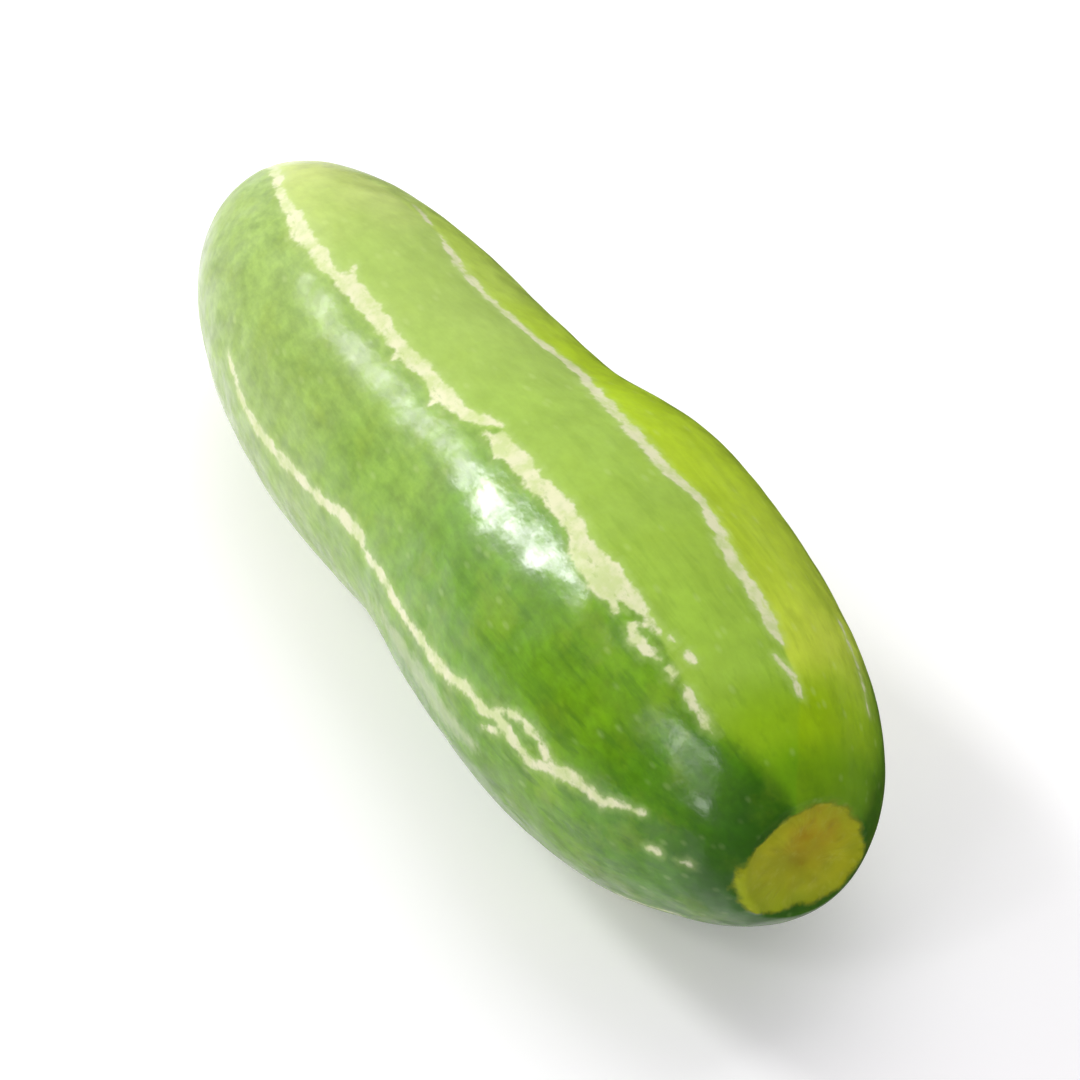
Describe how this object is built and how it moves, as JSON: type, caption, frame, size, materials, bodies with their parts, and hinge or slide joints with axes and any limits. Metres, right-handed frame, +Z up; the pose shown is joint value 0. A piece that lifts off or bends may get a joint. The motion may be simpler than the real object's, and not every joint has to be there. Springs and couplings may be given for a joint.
{
  "type": "ivy gourd",
  "caption": "Small green ivy gourd fruit, whole and as picked, lying on its side, with a slight waist, a flat stem scar and a pointed blossom end.",
  "frame": {"origin": "middle of the underside of the fruit's box as it lies, on the surface it rests on", "axes": "+X along the fruit towards the stem scar, +Z up"},
  "size_m": [0.062, 0.021, 0.0208],
  "materials": {
    "gourd_skin": "moist waxy fruit skin, satin gloss, mottled green with ragged pale cream stripes along it"
  },
  "bodies": {
    "root": {"gourd": "gourd_skin"}
  },
  "joints": []
}
